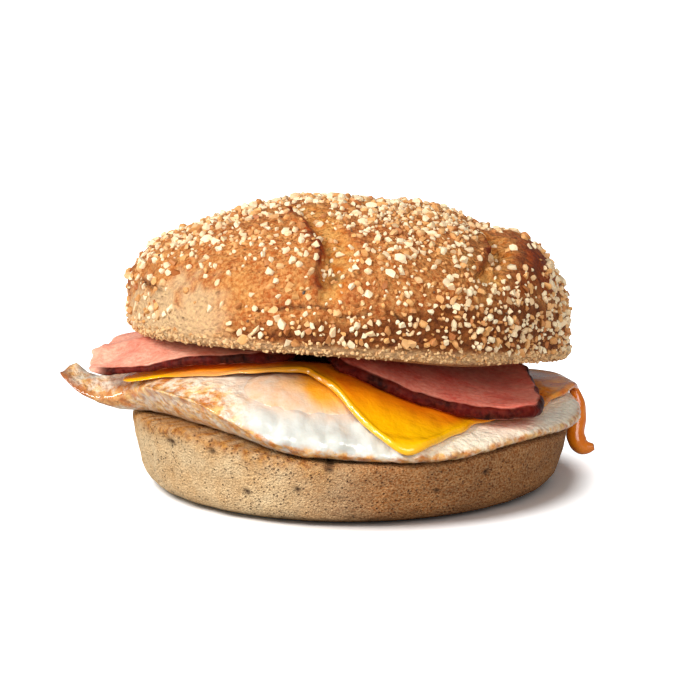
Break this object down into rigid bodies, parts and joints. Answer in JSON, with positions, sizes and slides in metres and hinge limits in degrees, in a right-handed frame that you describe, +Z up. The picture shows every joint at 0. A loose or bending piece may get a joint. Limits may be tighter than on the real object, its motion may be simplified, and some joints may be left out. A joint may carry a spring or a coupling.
{
  "type": "breakfast sandwich",
  "caption": "Round grain-topped roll cut in two and filled with a fried egg, a melted cheese slice laid cornerwise and slices of smoked ham.",
  "frame": {"origin": "middle of the flat that the roll stands on", "axes": "+Z up, -Y towards the side that shows the filling, +X to the right seen from there"},
  "size_m": [0.1317, 0.1109, 0.0716],
  "materials": {
    "bread_side": "matt floury bread",
    "egg_white": "moist egg white",
    "egg_yolk": "moist yolk",
    "cheese": "melted cheese",
    "ham": "moist ham",
    "crust": "baked crust"
  },
  "bodies": {
    "root": {"roll_base": "bread_side", "egg_white": "egg_white", "egg_yolk": "egg_yolk", "cheese_slice": "cheese", "ham_slice_left": "ham", "ham_slice_right": "ham", "roll_crown": "crust"}
  },
  "joints": []
}
